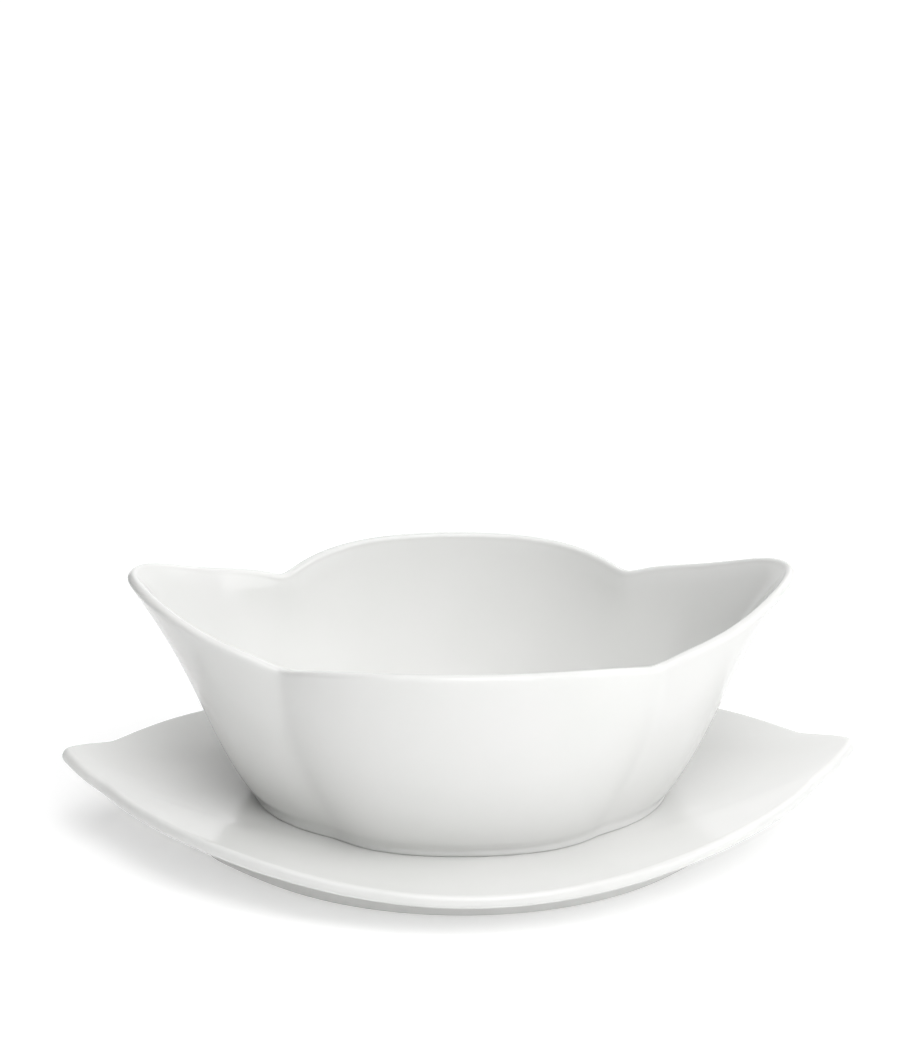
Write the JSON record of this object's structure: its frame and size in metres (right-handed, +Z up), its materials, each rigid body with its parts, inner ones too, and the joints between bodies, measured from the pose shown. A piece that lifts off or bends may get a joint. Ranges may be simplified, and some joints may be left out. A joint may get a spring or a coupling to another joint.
{
  "type": "gravy boat",
  "caption": "Lobed white porcelain gravy boat with a pouring spout at each end, resting loose on a matching pointed saucer with a foot ring.",
  "frame": {"origin": "on the table, under the middle of the saucer", "axes": "+Z up through the middle of the boat, +X from spout to spout, +Y across the two broad lobes"},
  "size_m": [0.24, 0.156, 0.085],
  "materials": {
    "saucer_glaze": "glossy clear glaze on white porcelain, bare fired clay on the foot ring",
    "boat_glaze": "glossy clear glaze on white porcelain, inside and outside, bare fired clay where it stands"
  },
  "bodies": {
    "saucer": {"saucer": "saucer_glaze"},
    "boat": {"boat": "boat_glaze"}
  },
  "joints": [
    {"name": "boat_lift", "type": "slide", "parent": "saucer", "child": "boat", "axis": [0, 0, 1], "range_m": [0, 0.12]}
  ]
}
